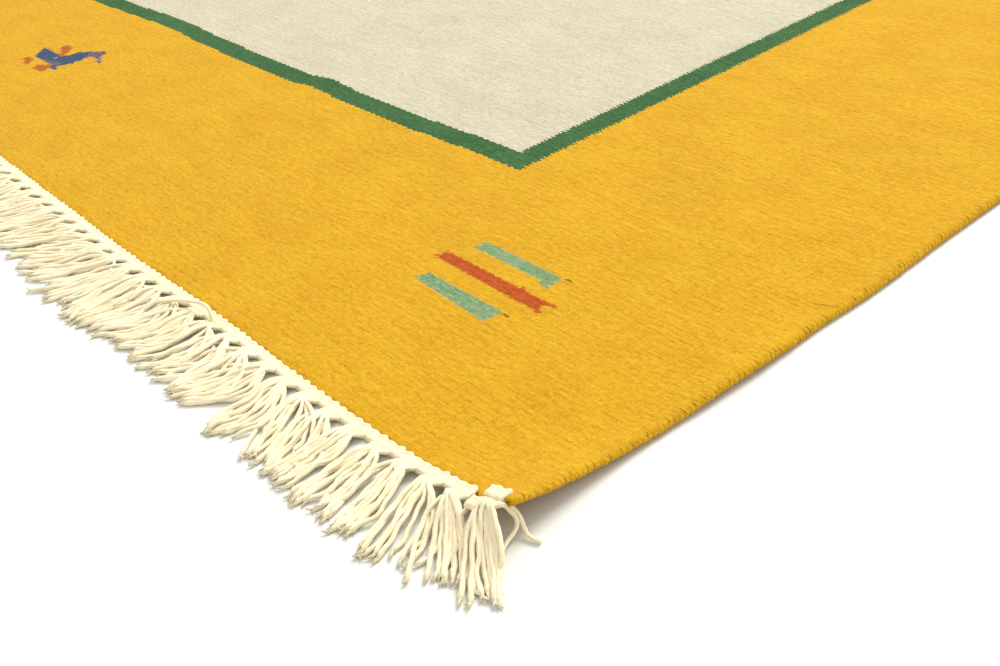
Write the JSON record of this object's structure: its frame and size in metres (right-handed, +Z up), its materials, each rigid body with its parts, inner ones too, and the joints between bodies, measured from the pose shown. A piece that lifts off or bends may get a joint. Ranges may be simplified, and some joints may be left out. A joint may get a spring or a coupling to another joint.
{
  "type": "kilim rug",
  "caption": "Flat-woven wool kilim rug with a plain border, a guard line, small woven motifs and knotted cotton fringe at both ends; one corner curls up slightly.",
  "frame": {"origin": "on the floor, under the middle of the rug", "axes": "+X across the rug along its wefts, +Y along its warps, +Z up from the floor; the curled corner is at +X, -Y"},
  "size_m": [1.641, 2.4173, 0.0213],
  "materials": {
    "weft_faced_wool": "matte, slightly fuzzy weft-faced wool in several plain dyed colours",
    "plied_cotton": "matte undyed plied cotton"
  },
  "bodies": {
    "root": {"woven_ground": "weft_faced_wool", "fringe_near": "plied_cotton", "fringe_far": "plied_cotton"}
  },
  "joints": []
}
